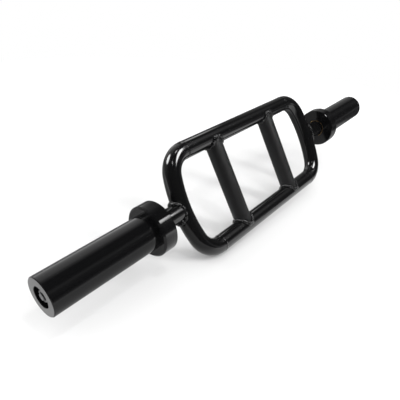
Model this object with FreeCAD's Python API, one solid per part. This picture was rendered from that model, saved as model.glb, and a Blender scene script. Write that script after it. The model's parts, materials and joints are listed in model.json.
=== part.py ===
import FreeCAD, Part
import math
import os

from FreeCAD import Vector

# A triceps bar: a welded loop of round tube with two parallel grips, and a turning plate sleeve on each end.
# All sizes are in millimetres. X runs along the bar, Z up along the grips, and the origin is the middle of
# the bar's axis. Pieces of the right-hand half are made first, and mirrored for the left.

# Loop of tube, sizes along the tube's centre line
frame_length = 360.0
rail_spacing = 151.0
corner_radius = 37.0
end_bow_rise = 16.0
tube_diameter = 27.0
tube_wall = 3.0

# Grips across the loop
grip_spacing = 145.0
grip_diameter = 28.0
grip_wall = 3.0
cope_setback = 4.0

# Welds
butt_weld_width = 3.0
butt_weld_rise = 0.6
grip_weld_size = 3.0
axle_weld_size = 3.5

# Sleeve and its collar
plate_seat_length = 150.0
sleeve_diameter = 50.0
sleeve_end_chamfer = 1.0
collar_seat_depth = 1.0
end_recess_lip = 2.5
end_recess_chamfer = 0.5
collar_height = 11.0
collar_width = 23.0
collar_front_chamfer = 2.5
collar_back_chamfer = 1.2

# Bushes pressed into the sleeve's bore. The inner one takes this share of the room between the axle
# and the outside of the sleeve, and the outer one fills the same bore down to its thinner journal.
bush_share = 0.28
inner_bush_length = 30.0
outer_bush_length = 25.0

# Axle, stepped down from the stub at the loop to the stud in the sleeve's end
axle_diameter = 25.0
stub_length = 33.5
stub_shoulder_height = 1.5
journal_step_height = 2.5
journal_step_gap = 2.0
stud_setback = 0.8
stud_projection = 1.7
stud_chamfer = 0.8

# Washers
thrust_washer_margin = 0.5
thrust_washer_thickness = 2.0
retaining_washer_margin = 0.5
retaining_washer_thickness = 3.0

# Stud as a share of the outer journal's radius, and the lock nut as shares of the stud's diameter
stud_share = 0.5
nut_flats_share = 1.7
nut_hex_height_share = 0.65
nut_collar_share = 1.5
nut_collar_height_share = 0.35
nut_insert_share = 1.24
nut_insert_height_share = 0.26
nut_chamfer_share = 0.12

# Clearances
running_clearance = 0.05
washer_bore_clearance = 0.1
axial_clearance = 0.3
overrun = 10.0

# Radii, from the outside of the sleeve to its axle
tube_radius = tube_diameter / 2
tube_bore_radius = tube_radius - tube_wall
grip_radius = grip_diameter / 2
sleeve_radius = sleeve_diameter / 2
collar_radius = sleeve_radius + collar_height
collar_seat_radius = sleeve_radius - collar_seat_depth
inner_journal_radius = axle_diameter / 2
outer_journal_radius = inner_journal_radius - journal_step_height
stub_radius = inner_journal_radius + stub_shoulder_height
bush_radius = inner_journal_radius + (sleeve_radius - inner_journal_radius) * bush_share
inner_bush_bore_radius = inner_journal_radius + running_clearance
outer_bush_bore_radius = outer_journal_radius + running_clearance
recess_radius = bush_radius - end_recess_lip
stud_radius = outer_journal_radius * stud_share
thrust_washer_radius = bush_radius - thrust_washer_margin
retaining_washer_radius = recess_radius - retaining_washer_margin

# Lock nut
stud_diameter = 2 * stud_radius
nut_across_flats = stud_diameter * nut_flats_share
nut_hex_height = stud_diameter * nut_hex_height_share
nut_collar_radius = stud_radius * nut_collar_share
nut_collar_height = stud_diameter * nut_collar_height_share
nut_insert_radius = stud_radius * nut_insert_share
nut_insert_height = stud_diameter * nut_insert_height_share
nut_chamfer = stud_diameter * nut_chamfer_share

# Places along the right-hand side: outwards to the bar's end, then back along the axle's outer end
loop_end = frame_length / 2 + tube_radius
collar_back = loop_end + stub_length
collar_front = collar_back + collar_width
sleeve_end = collar_front + plate_seat_length
stud_end = sleeve_end - stud_setback
nut_top = stud_end - stud_projection
nut_hex_top = nut_top - nut_collar_height
nut_foot = nut_hex_top - nut_hex_height
axle_shoulder = nut_foot - retaining_washer_thickness
recess_floor = axle_shoulder - axial_clearance
outer_bush_start = recess_floor - outer_bush_length
journal_step = outer_bush_start - journal_step_gap
inner_bush_end = collar_back + inner_bush_length
thrust_washer_front = collar_back - axial_clearance
stub_shoulder = thrust_washer_front - thrust_washer_thickness

# Centre line of the loop: each end is one long arc between two corner arcs, all tangent to each other
rail_height = rail_spacing / 2
bow_radius = (rail_height**2 + end_bow_rise**2) / (2 * end_bow_rise)
bow_centre = frame_length / 2 - bow_radius
corner_height = rail_height - corner_radius
corner_centre = bow_centre + math.sqrt((bow_radius - corner_radius) ** 2 - corner_height**2)
bow_half_angle = math.degrees(math.atan2(corner_height, corner_centre - bow_centre))
rail_end = corner_centre - butt_weld_width

ORIGIN = Vector(0, 0, 0)
ALONG = Vector(1, 0, 0)
ACROSS = Vector(0, 1, 0)
UP = Vector(0, 0, 1)
FULL_TURN = 360
QUARTER_TURN = 90


def rod(radius, start, direction, length):
    return Part.makeCylinder(radius, length, start, direction)


def tube(radius, bore_radius, start, direction, length):
    """A straight tube with square ends."""
    return rod(radius, start, direction, length).cut(rod(bore_radius, start, direction, length))


def turned(outline):
    """A turned piece on the bar's axis. The outline's points are (place along the bar, radius)."""
    points = [Vector(place, 0, radius) for place, radius in outline]
    face = Part.Face(Part.makePolygon(points + points[:1]))
    return face.revolve(ORIGIN, ALONG, FULL_TURN)


def bend(section_radius, centre, arc_radius, start_angle, end_angle):
    """A round rod bent about a point of the loop's plane. Angles are in degrees, from X towards Z."""
    start = math.radians(start_angle)
    outward = Vector(math.cos(start), 0, math.sin(start))
    forward = Vector(-math.sin(start), 0, math.cos(start))
    circle = Part.Circle(centre + outward * arc_radius, forward, section_radius)
    section = Part.Face(Part.Wire(circle.toShape()))
    return section.revolve(centre, ACROSS.negative(), end_angle - start_angle)


def bow_rod(section_radius):
    """A solid rod along the whole right-hand end of the loop."""
    lower = Vector(corner_centre, 0, -corner_height)
    upper = Vector(corner_centre, 0, corner_height)
    middle = Vector(bow_centre, 0, 0)
    pieces = [
        bend(section_radius, lower, corner_radius, -QUARTER_TURN, -bow_half_angle),
        bend(section_radius, middle, bow_radius, -bow_half_angle, bow_half_angle),
        bend(section_radius, upper, corner_radius, bow_half_angle, QUARTER_TURN),
    ]
    return pieces[0].fuse(pieces[1:])


def end_bow():
    return bow_rod(tube_radius).cut(bow_rod(tube_bore_radius))


def rail(level):
    start = Vector(-rail_end, 0, level)
    return tube(tube_radius, tube_bore_radius, start, ALONG, 2 * rail_end)


def butt_weld(level):
    """The crowned ring of weld between the right-hand end of a rail and the bow."""
    middle = (rail_end + corner_centre) / 2
    crown = Part.Arc(
        Vector(rail_end, 0, level + tube_radius),
        Vector(middle, 0, level + tube_radius + butt_weld_rise),
        Vector(corner_centre, 0, level + tube_radius),
    )
    root = Part.makePolygon(
        [
            Vector(corner_centre, 0, level + tube_radius),
            Vector(corner_centre, 0, level + tube_bore_radius),
            Vector(rail_end, 0, level + tube_bore_radius),
            Vector(rail_end, 0, level + tube_radius),
        ]
    )
    section = Part.Face(Part.Wire([crown.toShape()] + root.Edges))
    return section.revolve(Vector(0, 0, level), ALONG, FULL_TURN)


def rail_rod(radius, level):
    """A solid rod in the place of a rail, for coping the grips to it."""
    return rod(radius, Vector(-corner_centre, 0, level), ALONG, 2 * corner_centre)


def grip():
    """The right-hand grip, coped to fit the two rails."""
    reach = rail_height - cope_setback
    start = Vector(grip_spacing / 2, 0, -reach)
    blank = tube(grip_radius, grip_radius - grip_wall, start, UP, 2 * reach)
    return blank.cut([rail_rod(tube_radius, rail_height), rail_rod(tube_radius, -rail_height)])


def grip_weld():
    """The fillet of weld where the right-hand grip meets the upper rail."""
    foot = Vector(grip_spacing / 2, 0, rail_height - tube_radius - overrun)
    height = tube_radius + overrun - cope_setback
    bead = rod(grip_radius + grip_weld_size, foot, UP, height)
    bead = bead.common(rail_rod(tube_radius + grip_weld_size, rail_height))
    return bead.cut([rod(grip_radius, foot, UP, height), rail_rod(tube_radius, rail_height)])


def axle():
    """The stepped axle, coped to the bow at its stub and threaded, shown plain, at its other end."""
    start = frame_length / 2 + cope_setback
    blank = turned(
        [
            (start, 0),
            (start, stub_radius),
            (stub_shoulder, stub_radius),
            (stub_shoulder, inner_journal_radius),
            (journal_step, inner_journal_radius),
            (journal_step, outer_journal_radius),
            (axle_shoulder, outer_journal_radius),
            (axle_shoulder, stud_radius),
            (stud_end - stud_chamfer, stud_radius),
            (stud_end, stud_radius - stud_chamfer),
            (stud_end, 0),
        ]
    )
    return blank.cut(bow_rod(tube_radius))


def axle_weld():
    """The fillet of weld round the stub, where it meets the bow."""
    foot = Vector(frame_length / 2 + cope_setback, 0, 0)
    length = tube_radius + overrun
    bead = rod(stub_radius + axle_weld_size, foot, ALONG, length)
    bead = bead.common(bow_rod(tube_radius + axle_weld_size))
    return bead.cut([rod(stub_radius, foot, ALONG, length), bow_rod(tube_radius)])


def sleeve():
    """The plate sleeve, turned down to a seat for the collar, with a sloping shoulder. Its bore holds the
    bushes, and the open recess in its end holds the nut."""
    return turned(
        [
            (collar_back, bush_radius),
            (collar_back, collar_seat_radius),
            (collar_front - collar_seat_depth, collar_seat_radius),
            (collar_front, sleeve_radius),
            (sleeve_end - sleeve_end_chamfer, sleeve_radius),
            (sleeve_end, sleeve_radius - sleeve_end_chamfer),
            (sleeve_end, recess_radius + end_recess_chamfer),
            (sleeve_end - end_recess_chamfer, recess_radius),
            (recess_floor, recess_radius),
            (recess_floor, bush_radius),
        ]
    )


def collar():
    """The ring that stops the plates, pressed on its seat and countersunk to fit the sleeve's shoulder."""
    return turned(
        [
            (collar_back, collar_seat_radius),
            (collar_back, collar_radius - collar_back_chamfer),
            (collar_back + collar_back_chamfer, collar_radius),
            (collar_front - collar_front_chamfer, collar_radius),
            (collar_front, collar_radius - collar_front_chamfer),
            (collar_front, sleeve_radius),
            (collar_front - collar_seat_depth, collar_seat_radius),
        ]
    )


def ring(start, end, radius, bore_radius):
    """A plain ring on the bar's axis, such as a bush or a washer."""
    return turned([(start, bore_radius), (start, radius), (end, radius), (end, bore_radius)])


def thrust_washer():
    bore_radius = inner_journal_radius + washer_bore_clearance
    return ring(stub_shoulder, thrust_washer_front, thrust_washer_radius, bore_radius)


def retaining_washer():
    bore_radius = stud_radius + washer_bore_clearance
    return ring(axle_shoulder, nut_foot, retaining_washer_radius, bore_radius)


def hexagon(corner_reach, start, length):
    """A hexagonal bar on the bar's axis, with one of its flats facing up."""
    angles = [math.pi / 3 * corner for corner in range(6)]
    points = [Vector(start, corner_reach * math.cos(a), corner_reach * math.sin(a)) for a in angles]
    return Part.Face(Part.makePolygon(points + points[:1])).extrude(ALONG * length)


def lock_nut():
    """A hexagonal nut with a round collar on its outer end, hollowed for the locking insert."""
    corner_reach = nut_across_flats / 2 / math.cos(math.pi / 6)
    hexagonal = hexagon(corner_reach, nut_foot, nut_hex_height)
    rounding = turned(
        [
            (nut_foot, 0),
            (nut_foot, corner_reach),
            (nut_hex_top - nut_chamfer, corner_reach),
            (nut_hex_top, corner_reach - nut_chamfer),
            (nut_hex_top, 0),
        ]
    )
    collar_rod = ring(nut_hex_top, nut_top, nut_collar_radius, stud_radius)
    body = hexagonal.common(rounding).cut(ring(nut_foot, nut_hex_top, stud_radius, 0))
    seat = ring(nut_top - nut_insert_height, nut_top, nut_insert_radius, stud_radius)
    return body.fuse(collar_rod).cut(seat).removeSplitter()


def save(name, shape):
    shape.exportStep(f"parts/{name}.step")


def mirrored(shape, direction):
    return shape.mirror(ORIGIN, direction)


os.makedirs("parts", exist_ok=True)

save("upper_rail", rail(rail_height))
save("lower_rail", rail(-rail_height))

right_pieces = {
    "end_bow": end_bow(),
    "upper_butt_weld": butt_weld(rail_height),
    "lower_butt_weld": butt_weld(-rail_height),
    "grip": grip(),
    "grip_upper_weld": grip_weld(),
    "grip_lower_weld": mirrored(grip_weld(), UP),
    "axle": axle(),
    "axle_weld": axle_weld(),
    "sleeve": sleeve(),
    "collar": collar(),
    "inner_bush": ring(collar_back, inner_bush_end, bush_radius, inner_bush_bore_radius),
    "outer_bush": ring(outer_bush_start, recess_floor, bush_radius, outer_bush_bore_radius),
    "thrust_washer": thrust_washer(),
    "retaining_washer": retaining_washer(),
    "lock_nut": lock_nut(),
    "nut_insert": ring(nut_top - nut_insert_height, nut_top, nut_insert_radius, stud_radius),
}

for piece, shape in right_pieces.items():
    save(f"right_{piece}", shape)
    save(f"left_{piece}", mirrored(shape, ALONG))
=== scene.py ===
"""A glossy black triceps bar on a white studio floor: finishes, weld beads, light and camera."""

import json
import math

import bmesh
import bpy
import numpy as np
from mathutils import Matrix, Quaternion, Vector, noise


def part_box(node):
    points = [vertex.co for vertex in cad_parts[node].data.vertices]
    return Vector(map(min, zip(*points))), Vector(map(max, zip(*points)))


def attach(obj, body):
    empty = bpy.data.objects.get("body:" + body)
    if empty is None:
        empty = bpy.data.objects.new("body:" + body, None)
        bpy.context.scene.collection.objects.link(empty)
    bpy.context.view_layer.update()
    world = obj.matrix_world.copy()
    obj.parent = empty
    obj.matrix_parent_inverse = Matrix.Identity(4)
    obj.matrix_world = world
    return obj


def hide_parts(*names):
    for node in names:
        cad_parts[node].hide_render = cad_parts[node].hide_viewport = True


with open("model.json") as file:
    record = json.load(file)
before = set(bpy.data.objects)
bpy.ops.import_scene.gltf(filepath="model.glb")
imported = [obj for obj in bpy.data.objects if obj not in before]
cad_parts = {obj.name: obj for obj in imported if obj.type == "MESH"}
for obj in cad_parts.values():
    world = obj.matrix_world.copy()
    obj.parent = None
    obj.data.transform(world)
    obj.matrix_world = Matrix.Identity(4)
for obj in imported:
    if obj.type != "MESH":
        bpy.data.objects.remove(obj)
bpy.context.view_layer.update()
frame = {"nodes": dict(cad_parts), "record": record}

MM = 0.001
SIDES = (("left", -1), ("right", 1))
RAILS = (("upper", 1), ("lower", -1))
ALONG_BAR = (1, 0, 0)
FORWARD = (0, -1, 0)
BACKWARD = (0, 1, 0)
UPWARD = (0, 0, 1)
WHITE = (1, 1, 1, 1)
WHITE_LEVEL = 1.0


def grey(level):
    """An opaque grey, for a colour socket."""
    return (level, level, level, 1)


def turns(count):
    """Angles that divide a full turn evenly."""
    return [2 * math.pi * i / count for i in range(count)]


def add_object(name, data):
    """A new object in the scene, with this data."""
    obj = bpy.data.objects.new(name, data)
    bpy.context.scene.collection.objects.link(obj)
    return obj


def add_flat_object(name, corners, faces):
    """A new object in the scene, of flat faces between these corners."""
    data = bpy.data.meshes.new(name)
    data.from_pydata(corners, [], faces)
    return add_object(name, data)


# Nodes and shaders


def node_material(name):
    """An empty node material: (material, its node tree, its output node)."""
    material = bpy.data.materials.new(name)
    material.use_nodes = True
    tree = material.node_tree
    tree.nodes.clear()
    return material, tree, tree.nodes.new("ShaderNodeOutputMaterial")


def principled(tree, color, **sockets):
    """A Principled shader of a colour, with more of its sockets set by name."""
    shader = tree.nodes.new("ShaderNodeBsdfPrincipled")
    shader.inputs["Base Color"].default_value = (*color, 1)
    for socket, value in sockets.items():
        shader.inputs[socket.replace("_", " ")].default_value = value
    return shader


def surface(name, color, **sockets):
    """A material of one Principled shader: (material, its node tree, the shader)."""
    material, tree, output = node_material(name)
    shader = principled(tree, color, **sockets)
    tree.links.new(shader.outputs["BSDF"], output.inputs["Surface"])
    return material, tree, shader


def first_node(tree, kind):
    """The first node of a type."""
    return next(node for node in tree.nodes if node.type == kind)


def object_place(tree):
    """The place in the object's own coordinates, as a socket."""
    return tree.nodes.new("ShaderNodeTexCoord").outputs["Object"]


def object_noise(tree, scale, detail, stretch=(1, 1, 1), roughness=0.5):
    """Noise in the object's own coordinates, stretched along its axes."""
    mapping = tree.nodes.new("ShaderNodeMapping")
    mapping.inputs["Scale"].default_value = stretch
    texture = tree.nodes.new("ShaderNodeTexNoise")
    texture.inputs["Scale"].default_value = scale
    texture.inputs["Detail"].default_value = detail
    texture.inputs["Roughness"].default_value = roughness
    tree.links.new(object_place(tree), mapping.inputs["Vector"])
    tree.links.new(mapping.outputs["Vector"], texture.inputs["Vector"])
    return texture.outputs["Fac"]


def remap(tree, value, low, high, start=0.0, end=1.0):
    """The value from start..end carried to low..high."""
    node = tree.nodes.new("ShaderNodeMapRange")
    node.inputs["From Min"].default_value = start
    node.inputs["From Max"].default_value = end
    node.inputs["To Min"].default_value = low
    node.inputs["To Max"].default_value = high
    tree.links.new(value, node.inputs["Value"])
    return node.outputs["Result"]


def curve(tree, value, pairs):
    """A smooth curve through pairs of (value, level), as a socket."""
    low, high = pairs[0][0], pairs[-1][0]
    ramp = tree.nodes.new("ShaderNodeValToRGB")
    ramp.color_ramp.interpolation = "EASE"
    stops = ramp.color_ramp.elements
    stops.remove(stops[-1])
    for i, (place, level) in enumerate(pairs):
        share = (place - low) / (high - low)
        stop = stops[0] if i == 0 else stops.new(share)
        stop.position = share
        stop.color = grey(level)
    tree.links.new(remap(tree, value, 0.0, 1.0, low, high), ramp.inputs["Fac"])
    return ramp.outputs["Color"]


def math_node(tree, operation, first, second):
    """A sum, a product or another operation on two sockets."""
    node = tree.nodes.new("ShaderNodeMath")
    node.operation = operation
    tree.links.new(first, node.inputs[0])
    tree.links.new(second, node.inputs[1])
    return node.outputs["Value"]


def total(tree, parts):
    """The sum of sockets."""
    result = parts[0]
    for part in parts[1:]:
        result = math_node(tree, "ADD", result, part)
    return result


def patch(tree, along, along_levels, across, across_levels):
    """The level of a patch that one curve limits along it and another across it."""
    first = curve(tree, along, along_levels)
    return math_node(tree, "MULTIPLY", first, curve(tree, across, across_levels))


def vector_math(tree, operation, vector, fixed=(0, 0, 0)):
    """The outputs of an operation on a vector and a fixed one."""
    node = tree.nodes.new("ShaderNodeVectorMath")
    node.operation = operation
    node.inputs[1].default_value = fixed
    tree.links.new(vector, node.inputs[0])
    return node.outputs


def dot(tree, vector, fixed):
    """How far a vector reaches along a fixed one, as a socket."""
    return vector_math(tree, "DOT_PRODUCT", vector, fixed)["Value"]


def length(tree, vector):
    """The length of a vector, as a socket."""
    return vector_math(tree, "LENGTH", vector)["Value"]


def mix(tree, share, first, second):
    """A mix of two shaders by a socket."""
    node = tree.nodes.new("ShaderNodeMixShader")
    tree.links.new(share, node.inputs["Fac"])
    tree.links.new(first.outputs[0], node.inputs[1])
    tree.links.new(second.outputs[0], node.inputs[2])
    return node


def by_ray(tree, camera, glossy, other):
    """One shader for camera rays, one for glossy rays and one for all others."""
    rays = tree.nodes.new("ShaderNodeLightPath")
    unseen = mix(tree, rays.outputs["Is Glossy Ray"], other, glossy)
    return mix(tree, rays.outputs["Is Camera Ray"], unseen, camera)


def source(tree, kind, strength):
    """A white Emission or Background node, whose strength is a number or a socket."""
    node = tree.nodes.new(kind)
    node.inputs["Color"].default_value = WHITE
    if isinstance(strength, bpy.types.NodeSocket):
        tree.links.new(strength, node.inputs["Strength"])
    else:
        node.inputs["Strength"].default_value = strength
    return node


# Finishes. The paints and the steel are darker than the record's colours, as in the photograph

GLOSS_BLACK = (0.0036, 0.0036, 0.0038)
WELD_BLACK = (0.0024, 0.0024, 0.0026)
GRIP_BLACK = (0.0060, 0.0060, 0.0063)
GRIP_SHEEN = 0.40
SLEEVE_BLACK = (0.0030, 0.0030, 0.0033)
STEEL_GREY = (0.15, 0.15, 0.155)
STEEL_HAZE = {"scale": 300, "detail": 4, "low": 0.34, "high": 0.55}
OXIDE_BLACK = 0.02
BRONZE_BROWN = (0.50, 0.33, 0.15)
NYLON_BLACK = (0.028, 0.028, 0.028)
AXLE_PAINT_FADE = 0.2 * MM


def haze(tree, shader, scale, detail, low, high, start=0.3, end=0.7):
    """Lets the roughness drift from low to high, as noise goes from start to end."""
    drift = object_noise(tree, scale, detail)
    tree.links.new(remap(tree, drift, low, high, start, end), shader.inputs["Roughness"])


def noise_bump(tree, shader, distance, strength, below=None, **texture):
    """Adds a bump of noise to the shader, on top of the bump below it. Returns its normal."""
    node = tree.nodes.new("ShaderNodeBump")
    node.inputs["Strength"].default_value = strength
    node.inputs["Distance"].default_value = distance
    tree.links.new(object_noise(tree, **texture), node.inputs["Height"])
    if below is not None:
        tree.links.new(below, node.inputs["Normal"])
    tree.links.new(node.outputs["Normal"], shader.inputs["Normal"])
    return node.outputs["Normal"]


def gloss_paint():
    """Black gloss enamel on tube, with a faint orange peel and a few duller places."""
    material, tree, shader = surface("gloss_paint", GLOSS_BLACK)
    haze(tree, shader, scale=26, detail=4, low=0.07, high=0.13, start=0.35)
    waves = noise_bump(tree, shader, scale=55, detail=2, distance=0.003 * MM, strength=0.5)
    noise_bump(tree, shader, scale=420, detail=2, distance=0.0008 * MM, strength=0.6, below=waves)
    return material


def weld_paint():
    """The same enamel, pooled and uneven over the weld beads."""
    material, tree, shader = surface("weld_paint", WELD_BLACK)
    haze(tree, shader, scale=90, detail=3, low=0.08, high=0.20)
    noise_bump(tree, shader, scale=520, detail=3, distance=1.2 * MM, strength=1.0)
    return material


def grip_paint():
    """Satin black powder coat with a fine, slightly uneven grain."""
    material, tree, shader = surface("grip_paint", GRIP_BLACK, Specular_IOR_Level=GRIP_SHEEN)
    haze(tree, shader, scale=60, detail=4, low=0.42, high=0.50)
    noise_bump(
        tree, shader, scale=1500, detail=3, roughness=0.65, distance=0.10 * MM, strength=0.55
    )
    return material


def sleeve_paint():
    """Black finish over fine lathe rings, which draw reflections out along the sleeve."""
    material, tree, shader = surface("sleeve_paint", SLEEVE_BLACK, Anisotropic=0.3)
    tangent = tree.nodes.new("ShaderNodeTangent")
    tangent.direction_type = "RADIAL"
    tangent.axis = "X"
    tree.links.new(tangent.outputs["Tangent"], shader.inputs["Tangent"])
    haze(tree, shader, scale=22, detail=4, low=0.09, high=0.13)
    bands = {"scale": 1.0, "detail": 2, "stretch": (420, 5, 5)}
    rings = {"scale": 1.0, "detail": 2, "stretch": (2600, 14, 14)}
    first = noise_bump(tree, shader, distance=0.03 * MM, strength=0.5, **bands)
    noise_bump(tree, shader, distance=0.009 * MM, strength=0.7, below=first, **rings)
    return material


def bare_steel():
    """Dull zinc plate."""
    material, tree, shader = surface("bare_steel", STEEL_GREY, Metallic=1.0)
    haze(tree, shader, **STEEL_HAZE)
    scratches = {"scale": 1.0, "detail": 3, "stretch": (500, 2600, 2600)}
    noise_bump(tree, shader, distance=0.02 * MM, strength=0.6, **scratches)
    return material


def bronze():
    """Sintered bronze, porous and oiled."""
    material, tree, shader = surface("bronze", BRONZE_BROWN, Metallic=1.0)
    haze(tree, shader, scale=120, detail=3, low=0.30, high=0.50)
    noise_bump(tree, shader, scale=2200, detail=2, distance=0.05 * MM, strength=0.5)
    return material


def nylon():
    """Moulded black nylon."""
    material, tree, shader = surface("nylon", NYLON_BLACK)
    haze(tree, shader, scale=200, detail=2, low=0.42, high=0.58)
    noise_bump(tree, shader, scale=900, detail=2, distance=0.03 * MM, strength=0.5)
    return material


# The finish of each material slot in the record
FINISHES = {
    "frame_paint": gloss_paint(),
    "weld_paint": weld_paint(),
    "grip_paint": grip_paint(),
    "sleeve_paint": sleeve_paint(),
    "bare_steel": bare_steel(),
    "bronze": bronze(),
    "nylon": nylon(),
}


def bare_beyond(painted, start):
    """The painted finish up to start metres from the bar's middle, and bare steel beyond it."""
    material = painted.copy()
    material.name = "axle_finish"
    tree = material.node_tree
    paint = first_node(tree, "BSDF_PRINCIPLED")
    steel = principled(tree, STEEL_GREY, Metallic=1.0)
    haze(tree, steel, **STEEL_HAZE)
    away = vector_math(tree, "ABSOLUTE", object_place(tree))["Vector"]
    split = tree.nodes.new("ShaderNodeSeparateXYZ")
    tree.links.new(away, split.inputs["Vector"])
    beyond = remap(tree, split.outputs["X"], 0.0, 1.0, start, start + AXLE_PAINT_FADE)
    either = mix(tree, beyond, paint, steel)
    output = first_node(tree, "OUTPUT_MATERIAL")
    tree.links.new(either.outputs["Shader"], output.inputs["Surface"])
    return material


def blackened(steel):
    """The steel with a dark oxide on it."""
    material = steel.copy()
    material.name = "blackened_steel"
    shader = first_node(material.node_tree, "BSDF_PRINCIPLED")
    shader.inputs["Base Color"].default_value = grey(OXIDE_BLACK)
    return material


def dress_cad_nodes():
    """Each node wears the finish of its slot, but the axles and thrust washers one of their own."""
    paint_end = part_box("right_thrust_washer")[1].x
    others = {
        "axle": bare_beyond(FINISHES["frame_paint"], paint_end),
        "thrust_washer": blackened(FINISHES["bare_steel"]),
    }
    slots = {row["node"]: row["material_slot"] for row in frame["record"]["subparts"]}
    for name, obj in frame["nodes"].items():
        piece = name.partition("_")[2]
        obj.data.materials.clear()
        obj.data.materials.append(others.get(piece, FINISHES[slots[name]]))


# Weld beads


def span(node, axis):
    """The middle and the half length of a node's box along an axis, which is 0, 1 or 2."""
    low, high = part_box(node)
    return (high[axis] + low[axis]) / 2, (high[axis] - low[axis]) / 2


# Sizes of the frame. Each bow is an arc that rises by BOW_RISE over a line from rail to rail.
RAIL_HEIGHT, TUBE_RADIUS = span("upper_rail", 2)
GRIP_PLACE, GRIP_RADIUS = span("right_grip", 0)
GRIP_COPE = RAIL_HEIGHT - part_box("right_grip")[1].z
LOOP_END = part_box("right_end_bow")[1].x
STUB_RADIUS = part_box("right_axle")[1].z
BOW_RISE = 16 * MM
BOW_RADIUS = (RAIL_HEIGHT**2 + BOW_RISE**2) / (2 * BOW_RISE)

# Sizes of the beads, the scales round each one, and how deep the scales are as a share of its size
BUTT_BEAD_RISE = 0.18 * MM
BUTT_BEAD_HALF_WIDTH = 2.0 * MM
BUTT_BEAD_SCALES = 24
BUTT_BEAD_DEPTH = 0.08
GRIP_BEAD_SIZE = 3.0 * MM
GRIP_BEAD_LIFT = 0.7 * MM
GRIP_BEAD_SCALES = 12
GRIP_BEAD_DEPTH = 0.5
AXLE_BEAD_SIZE = 4.6 * MM
AXLE_BEAD_SIDE_SHARE = 0.12
AXLE_BEAD_LIFT = 0.5 * MM
AXLE_BEAD_REACH = 0.84
AXLE_BEAD_SCALES = 20
AXLE_BEAD_DEPTH = 0.55
BEAD_STATIONS = 320
BEAD_SIDES = 20

# Scales: how far and how quickly their spacing strays, how steep each one starts, its height, and
# the height that leaves the bead's size as it is
STRAY = 0.4
STRAY_RATE = 3
SCALE_SKEW = 0.75
SCALE_HEIGHT = 0.75
SCALE_HEIGHT_CHANGE = 0.5
SCALE_MIDDLE = 0.6

# Swells and lumps of a bead: how large they are, and how quickly they follow each other
SWELL = 0.12
SWELL_RATE = 1.3
LUMP = 0.10
LUMP_RATE = 7
LUMP_RATE_ACROSS = 0.9

# Where each kind of noise is read, so that no two are alike
SCALE_NOISE_STEP = 5.3
SCALE_NOISE_PLACE = 1.7
SWELL_NOISE_PLACE = 7
LUMP_NOISE_PLACE = 3
FIRST_SEED = 11
SEED_STEP = 7
BUTT_SEED_SHIFT = 3


def closed_bead(name, path, outward, radii):
    """A tube of changing radius round a closed path, as one smooth-shaded mesh."""
    count = len(path)
    mesh = bmesh.new()
    rings = []
    for i in range(count):
        along = (path[(i + 1) % count] - path[i - 1]).normalized()
        out = (outward[i] - along * outward[i].dot(along)).normalized()
        side = along.cross(out)
        ring = []
        for angle, radius in zip(turns(BEAD_SIDES), radii[i]):
            spoke = out * math.cos(angle) + side * math.sin(angle)
            ring.append(mesh.verts.new(path[i] + spoke * radius))
        rings.append(ring)
    for i in range(count):
        ring, following = rings[i], rings[(i + 1) % count]
        for j in range(BEAD_SIDES):
            k = (j + 1) % BEAD_SIDES
            mesh.faces.new((ring[j], following[j], following[k], ring[k]))
    bmesh.ops.recalc_face_normals(mesh, faces=mesh.faces)
    data = bpy.data.meshes.new(name)
    mesh.to_mesh(data)
    mesh.free()
    data.polygons.foreach_set("use_smooth", [True] * len(data.polygons))
    return add_object(name, data)


def scale_height(turn, scales, seed):
    """How high the overlapping scales of a hand-laid bead stand, from 0 to 1, at one turn."""
    circle = Vector((seed, STRAY_RATE * math.cos(turn), STRAY_RATE * math.sin(turn)))
    reach = (turn / (2 * math.pi) * scales + STRAY * noise.noise(circle)) % scales
    phase = (reach % 1.0) ** SCALE_SKEW
    change = noise.noise(Vector((seed, SCALE_NOISE_STEP * math.floor(reach), SCALE_NOISE_PLACE)))
    own_height = SCALE_HEIGHT + SCALE_HEIGHT_CHANGE * change
    return own_height * math.sqrt(max(0.0, 1 - (2 * phase - 1) ** 2))


def bead_radii(rise, half_width, scales, depth, seed, side_share=1.0):
    """Radii for each station and side of a bead: an oval section with scales and small lumps."""
    rows = []
    for turn in turns(BEAD_STATIONS):
        circle = Vector((math.cos(turn), math.sin(turn), 0))
        swell = noise.noise(circle * SWELL_RATE + Vector((seed, 0, SWELL_NOISE_PLACE)))
        scale = scale_height(turn, scales, seed) - SCALE_MIDDLE
        size = 1 + SWELL * swell + depth * scale
        size *= side_share + (1 - side_share) * abs(circle.y)
        row = []
        for angle in turns(BEAD_SIDES):
            c, s = math.cos(angle), math.sin(angle)
            oval = 1 / math.hypot(c / rise, s / half_width)
            place = circle * LUMP_RATE + Vector((c, s, 0)) * LUMP_RATE_ACROSS
            lump = noise.noise(place + Vector((0, seed, LUMP_NOISE_PLACE)))
            row.append(oval * size * (1 + LUMP * lump))
        rows.append(row)
    return rows


def finish_bead(obj, node, slot="weld_paint"):
    """The bead stands in for the plain weld of the solids."""
    obj.data.materials.append(FINISHES[slot])
    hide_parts(node)
    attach(obj, "frame")


def stations():
    """Cosine and sine at each station of a bead."""
    return [(math.cos(turn), math.sin(turn)) for turn in turns(BEAD_STATIONS)]


def butt_weld(node, seed):
    """The flat ring of weld between a rail and a bow."""
    low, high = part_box(node)
    middle = (low + high) / 2
    outward = [Vector((0, c, s)) for c, s in stations()]
    path = [middle + out * TUBE_RADIUS for out in outward]
    radii = bead_radii(
        BUTT_BEAD_RISE, BUTT_BEAD_HALF_WIDTH, BUTT_BEAD_SCALES, BUTT_BEAD_DEPTH, seed
    )
    finish_bead(closed_bead(f"{node}_bead", path, outward, radii), node, "frame_paint")


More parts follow.
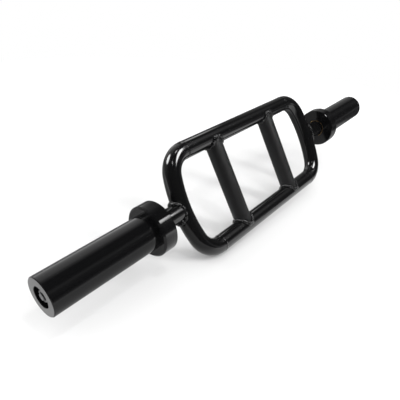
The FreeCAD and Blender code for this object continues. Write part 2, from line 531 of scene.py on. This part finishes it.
def grip_weld(side, sign, rail, rail_sign, seed):
    """The bead round a grip where it meets a rail."""
    least_drop = GRIP_COPE / 2
    path, outward = [], []
    for c, s in stations():
        y = GRIP_RADIUS * s
        drop = math.sqrt(max(TUBE_RADIUS**2 - y**2, least_drop**2))
        radial = Vector((c, s, 0))
        tube_out = Vector((0, y, -drop)).normalized()
        corner = Vector((sign * GRIP_PLACE, 0, RAIL_HEIGHT - drop)) + radial * GRIP_RADIUS
        lean = (radial + tube_out).normalized()
        place = corner + lean * GRIP_BEAD_LIFT
        path.append(Vector((place.x, place.y, rail_sign * place.z)))
        outward.append(Vector((lean.x, lean.y, rail_sign * lean.z)))
    radii = bead_radii(GRIP_BEAD_SIZE, GRIP_BEAD_SIZE, GRIP_BEAD_SCALES, GRIP_BEAD_DEPTH, seed)
    name = f"{side}_grip_{rail}"
    finish_bead(closed_bead(f"{name}_bead", path, outward, radii), f"{name}_weld")


def bow_surface(y, z):
    """How far the bow's tube reaches out from the middle of its arc, at a point of the end view."""
    return math.sqrt((BOW_RADIUS + math.sqrt(TUBE_RADIUS**2 - y**2)) ** 2 - z**2)


def axle_weld(side, sign, seed):
    """The chunky bead round the stub at the bow, sunk into the bow at the stub's sides."""
    bow_centre = LOOP_END - TUBE_RADIUS - BOW_RADIUS
    side_limit = TUBE_RADIUS * AXLE_BEAD_REACH
    path, outward = [], []
    for c, s in stations():
        y = max(-side_limit, min(side_limit, STUB_RADIUS * c))
        z = STUB_RADIUS * s
        radial = Vector((0, c, s))
        tube_out = Vector((math.sqrt(TUBE_RADIUS**2 - y**2), y, 0)).normalized()
        lean = (radial + tube_out).normalized()
        corner = Vector((bow_centre + bow_surface(y, z), 0, 0)) + radial * STUB_RADIUS
        place = corner + lean * AXLE_BEAD_LIFT * (2 * abs(s) - 1)
        path.append(Vector((sign * place.x, place.y, place.z)))
        outward.append(Vector((sign * lean.x, lean.y, lean.z)))
    radii = bead_radii(
        AXLE_BEAD_SIZE,
        AXLE_BEAD_SIZE,
        AXLE_BEAD_SCALES,
        AXLE_BEAD_DEPTH,
        seed,
        AXLE_BEAD_SIDE_SHARE,
    )
    finish_bead(closed_bead(f"{side}_axle_bead", path, outward, radii), f"{side}_axle_weld")


def weld_beads():
    """Every weld of the frame, each with its own ripples."""
    seed = FIRST_SEED
    for side, sign in SIDES:
        for rail, rail_sign in RAILS:
            grip_weld(side, sign, rail, rail_sign, seed)
            butt_weld(f"{side}_{rail}_butt_weld", seed + BUTT_SEED_SHIFT)
            seed += SEED_STEP
        axle_weld(side, sign, seed)
        seed += SEED_STEP


# Studio floor and room

# The floor is tilted as in the photograph, where the bar leans back with its lower rail on it
FLOOR_UP = Vector((0.06, -0.555, 0.830)).normalized()
FLOOR_SIZE = 12.0

# The floor as the camera sees it: lamps and room light it to white, and the bar shades it
ALBEDO_NEAR = 0.66
ALBEDO_FAR = 0.98
FLOOR_GLOW = 0.01
FLOOR_NEAR = 0.20
SHADOW_REACH = 0.75
FLOOR_WHITE_FROM = 1.1
AMBIENT = 1.30

# The floor as the bar mirrors it: pale by metres along the slanting edge of the light, and in two
# patches also by metres back
FLOOR_MIRROR_ALBEDO = 0.90
FLOOR_SLANT = (1.0, 0.58, 0.0)
FLOOR_DIM_LEVELS = (
    (-1.25, 0.05),
    (-1.00, 0.20),
    (-0.80, 0.28),
    (-0.55, 0.38),
    (-0.22, 0.32),
    (-0.10, 0.27),
    (0.20, 0.26),
    (0.42, 0.03),
)
FLOOR_PATCHES = (
    (
        ((-0.26, 0.0), (-0.16, 0.62), (0.15, 0.55), (0.42, 0.25), (0.62, 0.0)),
        ((-0.02, 1.0), (0.06, 0.0)),
    ),
    (
        ((-0.62, 0.0), (-0.50, 0.40), (-0.35, 0.40), (-0.27, 0.0)),
        ((-0.01, 0.0), (0.01, 1.0)),
    ),
)

# The room as the bar mirrors it: dark, with pale cards. Each card has its level by the angle round
# the bar in degrees, where 0 is forward and 90 is up, and by the direction along the bar.
ROOM_DARK = 0.02
CARDS = (
    (
        ((66, 0.0), (78, 0.29), (92, 0.76), (112, 0.87), (125, 1.02), (137, 1.40), (150, 1.60)),
        (
            (-1.0, 0.10),
            (-0.4, 0.30),
            (0.0, 0.50),
            (0.28, 0.95),
            (0.51, 1.0),
            (0.56, 0.14),
            (0.72, 0.06),
            (0.84, 0.25),
        ),
    ),
    (
        ((88, 0.0), (97, 1.8), (104, 2.8), (113, 2.1), (121, 0.0)),
        ((0.60, 0.0), (0.63, 1.0), (0.70, 1.0), (0.75, 0.0)),
    ),
    (
        ((4, 0.0), (20, 0.30), (34, 0.62), (48, 0.42), (66, 0.0)),
        ((0.58, 0.0), (0.62, 1.0), (0.68, 0.95), (0.76, 0.45), (0.86, 0.10)),
    ),
    (
        ((-36, 1.3), (-30, 0.7), (-22, 0.25), (-14, 0.0)),
        ((0.56, 0.0), (0.62, 1.0), (0.70, 0.9), (0.76, 0.1)),
    ),
    (
        ((8, 0.0), (20, 2.7), (30, 3.6), (50, 0.0)),
        ((0.565, 0.0), (0.585, 1.0), (0.61, 1.0), (0.625, 0.0)),
    ),
)
CARD_LIMIT = 8.0


def floor_level():
    """How far along FLOOR_UP the lowest point of the bar lies."""
    lowest = []
    for obj in frame["nodes"].values():
        places = np.empty(len(obj.data.vertices) * 3)
        obj.data.vertices.foreach_get("co", places)
        placing = np.array(obj.matrix_world)
        world = places.reshape(-1, 3) @ placing[:3, :3].T + placing[:3, 3]
        lowest.append(float((world @ np.array(FLOOR_UP)).min()))
    return min(lowest)


def mirrored_floor(tree, place):
    """The floor as the bar mirrors it: dark, and lit by the lamps where it is pale."""
    slant = dot(tree, place, FLOOR_SLANT)
    back = dot(tree, place, BACKWARD)
    parts = [curve(tree, slant, FLOOR_DIM_LEVELS)]
    for slant_levels, back_levels in FLOOR_PATCHES:
        parts.append(patch(tree, slant, slant_levels, back, back_levels))
    dark = source(tree, "ShaderNodeEmission", ROOM_DARK)
    pale = tree.nodes.new("ShaderNodeBsdfDiffuse")
    pale.inputs["Color"].default_value = grey(FLOOR_MIRROR_ALBEDO)
    return mix(tree, total(tree, parts), dark, pale)


def studio_floor():
    """A white floor that keeps the soft shadows near the bar and is plain white further out."""
    half = FLOOR_SIZE / 2
    corners = [(-half, -half, 0), (half, -half, 0), (half, half, 0), (-half, half, 0)]
    floor = add_flat_object("floor", corners, [(0, 1, 2, 3)])
    turn = Vector(UPWARD).rotation_difference(FLOOR_UP).to_matrix().to_4x4()
    floor.matrix_world = Matrix.Translation(FLOOR_UP * floor_level()) @ turn

    material, tree, output = node_material("floor_white")
    place = object_place(tree)
    away = length(tree, place)
    diffuse = tree.nodes.new("ShaderNodeBsdfDiffuse")
    albedo = remap(tree, away, ALBEDO_NEAR, ALBEDO_FAR, FLOOR_NEAR, FLOOR_WHITE_FROM)
    tree.links.new(albedo, diffuse.inputs["Color"])
    glow = source(tree, "ShaderNodeEmission", FLOOR_GLOW)
    lit = tree.nodes.new("ShaderNodeAddShader")
    tree.links.new(diffuse.outputs["BSDF"], lit.inputs[0])
    tree.links.new(glow.outputs["Emission"], lit.inputs[1])
    outside = remap(tree, away, 0.0, 1.0, SHADOW_REACH, FLOOR_WHITE_FROM)
    seen = mix(tree, outside, lit, source(tree, "ShaderNodeEmission", WHITE_LEVEL))
    front = by_ray(tree, seen, mirrored_floor(tree, place), diffuse)

    geometry = tree.nodes.new("ShaderNodeNewGeometry")
    clear = tree.nodes.new("ShaderNodeBsdfTransparent")
    clear.inputs["Color"].default_value = WHITE
    result = mix(tree, geometry.outputs["Backfacing"], front, clear)
    tree.links.new(result.outputs["Shader"], output.inputs["Surface"])
    floor.data.materials.append(material)


def studio_world():
    """White for the camera, dark with pale cards for reflections, even light for the rest."""
    world = bpy.data.worlds.new("studio")
    bpy.context.scene.world = world
    world.use_nodes = True
    tree = world.node_tree
    tree.nodes.clear()
    output = tree.nodes.new("ShaderNodeOutputWorld")
    direction = tree.nodes.new("ShaderNodeTexCoord").outputs["Generated"]
    along = dot(tree, direction, ALONG_BAR)
    forward = dot(tree, direction, FORWARD)
    upward = dot(tree, direction, UPWARD)
    angle = math_node(tree, "ARCTAN2", upward, forward)
    parts = []
    for by_degrees, by_direction in CARDS:
        by_angle = [(math.radians(degrees), level) for degrees, level in by_degrees]
        parts.append(patch(tree, angle, by_angle, along, by_direction))
    cards = total(tree, parts)
    level = remap(tree, cards, ROOM_DARK, ROOM_DARK + CARD_LIMIT, 0.0, CARD_LIMIT)
    room = source(tree, "ShaderNodeBackground", level)
    ambient = source(tree, "ShaderNodeBackground", AMBIENT)
    white = source(tree, "ShaderNodeBackground", WHITE_LEVEL)
    result = by_ray(tree, white, room, ambient)
    tree.links.new(result.outputs["Shader"], output.inputs["Surface"])


# Lights, cards and camera


def reflections_only(obj):
    """Only glossy rays meet the object."""
    obj.visible_camera = False
    obj.visible_diffuse = False
    obj.visible_shadow = False
    obj.visible_transmission = False


def turned(place, aim, lean):
    """The placing of a lamp that faces aim and leans by some degrees."""
    facing = Vector(aim) - Vector(place)
    turn = facing.to_track_quat("-Z", "Y") @ Quaternion((0, 0, 1), math.radians(lean))
    return Matrix.Translation(place) @ turn.to_matrix().to_4x4()


# Softboxes that the gloss mirrors: name, place, aim, width, height, radiance, lean in degrees
SOFTBOXES = (
    ("front_softbox", (0.37, -0.98, 0.56), (0.37, 0, 0.56), 0.50, 0.86, 23, -24),
    ("left_strip", (-0.45, -0.98, 0.88), (-0.2, 0, 0.1), 0.06, 0.34, 20, 0),
    ("upper_softbox", (0.20, -0.98, 1.65), (0, 0, 0.1), 0.30, 0.30, 13, 0),
    ("top_softbox", (-0.66, 0.26, 1.30), (-0.66, 0.26, 0), 0.84, 0.78, 18, 0),
)
SOFTBOX_FADE = ((0.0, 1.0), (0.65, 1.0), (1.0, 0.15))
SOFTBOX_CORNERS = 48


def softbox(name, place, aim, width, height, radiance, lean):
    """A glowing oval disc, dimmer towards its rim, that only reflections show."""
    rim = []
    for turn in turns(SOFTBOX_CORNERS):
        rim.append((width / 2 * math.cos(turn), height / 2 * math.sin(turn), 0))
    disc = add_flat_object(name, rim, [tuple(range(SOFTBOX_CORNERS))])
    disc.matrix_world = turned(place, aim, lean)
    material, tree, output = node_material(f"{name}_glow")
    to_circle = (2 / width, 2 / height, 0)
    scaled = vector_math(tree, "MULTIPLY", object_place(tree), to_circle)["Vector"]
    fade = [(share, level * radiance) for share, level in SOFTBOX_FADE]
    glow = source(tree, "ShaderNodeEmission", curve(tree, length(tree, scaled), fade))
    tree.links.new(glow.outputs["Emission"], output.inputs["Surface"])
    material.cycles.emission_sampling = "NONE"
    disc.data.materials.append(material)
    reflections_only(disc)


# Lamps that light the floor, aimed at the origin: name, place, width, height, radiance
ORIGIN = (0, 0, 0)
LAMPS = (
    ("front_light", (0.58, -1.38, 0.17), 0.38, 1.00, 12.0),
    ("upper_light", (-0.26, -0.90, 0.75), 0.15, 0.15, 32.0),
    ("back_light", (-0.52, 0.56, 0.69), 0.40, 0.40, 6.0),
)


def studio_lamp(name, place, width, height, radiance):
    """An oval area lamp of a given radiance, which reflections don't show."""
    lamp = bpy.data.lights.new(name, "AREA")
    lamp.shape = "ELLIPSE"
    lamp.size, lamp.size_y = width, height
    area = width * height * math.pi / 4
    lamp.energy = radiance * math.pi * area
    obj = add_object(name, lamp)
    obj.matrix_world = turned(place, ORIGIN, 0)
    obj.visible_glossy = False


# A black card close to the near sleeve, with a slot for the collar and a painted glow by height, in
# metres
FLAG_Y = -0.05
FLAG_NEAR = -0.60
FLAG_COLLAR = -0.2375
FLAG_FAR = -0.205
FLAG_LOW = -0.030
FLAG_SLOT_LOW = -0.012
FLAG_HIGH = 0.088
FLAG_SLOT = (0.0125, 0.0210)
FLAG_GLOW = (
    (-0.030, 0.42),
    (-0.024, 0.18),
    (-0.0185, 0.06),
    (-0.0146, 0.02),
    (0.002, 0.06),
    (0.011, 0.19),
    (0.022, 0.02),
)
FLAG_SLOT_CLEAR = 0.5


def sleeve_flag():
    """The card that keeps the front softbox out of the near sleeve's gloss, with a painted glow
    that the sleeve shows as a painted reflection. No camera sees it.
    """
    slot_low, slot_high = FLAG_SLOT
    panes = (
        (FLAG_NEAR, FLAG_COLLAR, FLAG_LOW, FLAG_HIGH),
        (FLAG_COLLAR, FLAG_FAR, FLAG_SLOT_LOW, slot_low),
        (FLAG_COLLAR, FLAG_FAR, slot_high, FLAG_HIGH),
        (FLAG_COLLAR, FLAG_FAR, slot_low, slot_high),
    )
    corners, faces = [], []
    for x_low, x_high, z_low, z_high in panes:
        start = len(corners)
        faces.append((start, start + 1, start + 2, start + 3))
        for x, z in ((x_low, z_low), (x_high, z_low), (x_high, z_high), (x_low, z_high)):
            corners.append((x, FLAG_Y, z))
    flag = add_flat_object("sleeve_flag", corners, faces)

    material, tree, output = node_material("flag_painted_glow")
    # The glow by height is painted light: the near sleeve shows it as a painted reflection
    height = dot(tree, object_place(tree), UPWARD)
    black = source(tree, "ShaderNodeEmission", curve(tree, height, FLAG_GLOW))
    tree.links.new(black.outputs["Emission"], output.inputs["Surface"])
    flag.data.materials.append(material)

    material, tree, output = node_material("flag_haze")
    clear = tree.nodes.new("ShaderNodeBsdfTransparent")
    clear.inputs["Color"].default_value = grey(FLAG_SLOT_CLEAR)
    tree.links.new(clear.outputs["BSDF"], output.inputs["Surface"])
    flag.data.materials.append(material)
    flag.data.polygons[-1].material_index = 1
    reflections_only(flag)


# Camera, solved from the outline of the bar: lengths in metres, angles in degrees, sensor in mm
CAMERA_DISTANCE = 0.6853
CAMERA_AZIMUTH = -50.4
CAMERA_ELEVATION = 9.32
CAMERA_ROLL = 20.61
CAMERA_CLIP_START = 0.01
FOCAL_PIXELS = 397.8
IMAGE_SIZE = 400
ORIGIN_PIXEL = (254.02, 166.05)
SENSOR_WIDTH = 36.0


def photo_camera():
    """The camera of the photograph: rolled, beside the near end, and looking past the origin."""
    azimuth, elevation = math.radians(CAMERA_AZIMUTH), math.radians(CAMERA_ELEVATION)
    level = math.cos(elevation)
    back = Vector((level * math.sin(azimuth), -level * math.cos(azimuth), math.sin(elevation)))
    forward = -back
    right = forward.cross(Vector(UPWARD)).normalized()
    down = forward.cross(right)
    roll = math.radians(CAMERA_ROLL)
    rolled_right = math.cos(roll) * right + math.sin(roll) * down
    rolled_down = -math.sin(roll) * right + math.cos(roll) * down
    across, below = [(pixel - IMAGE_SIZE / 2) / FOCAL_PIXELS for pixel in ORIGIN_PIXEL]
    to_origin = Vector((across, below, 1)).normalized()
    straight_ahead = Vector((0, 0, 1))
    turn = straight_ahead.rotation_difference(to_origin).to_matrix()
    axes = turn @ Matrix((rolled_right, rolled_down, forward))
    data = bpy.data.cameras.new("photo_camera")
    data.sensor_width = SENSOR_WIDTH
    data.lens = SENSOR_WIDTH * FOCAL_PIXELS / IMAGE_SIZE
    data.clip_start = CAMERA_CLIP_START
    camera = add_object("photo_camera", data)
    rotation = Matrix((axes[0], -axes[1], -axes[2])).transposed().to_4x4()
    camera.matrix_world = Matrix.Translation(back * CAMERA_DISTANCE) @ rotation
    bpy.context.scene.camera = camera


dress_cad_nodes()
weld_beads()
studio_floor()
studio_world()
for row in SOFTBOXES:
    softbox(*row)
for row in LAMPS:
    studio_lamp(*row)
sleeve_flag()
photo_camera()
bpy.context.scene.view_settings.view_transform = "Standard"
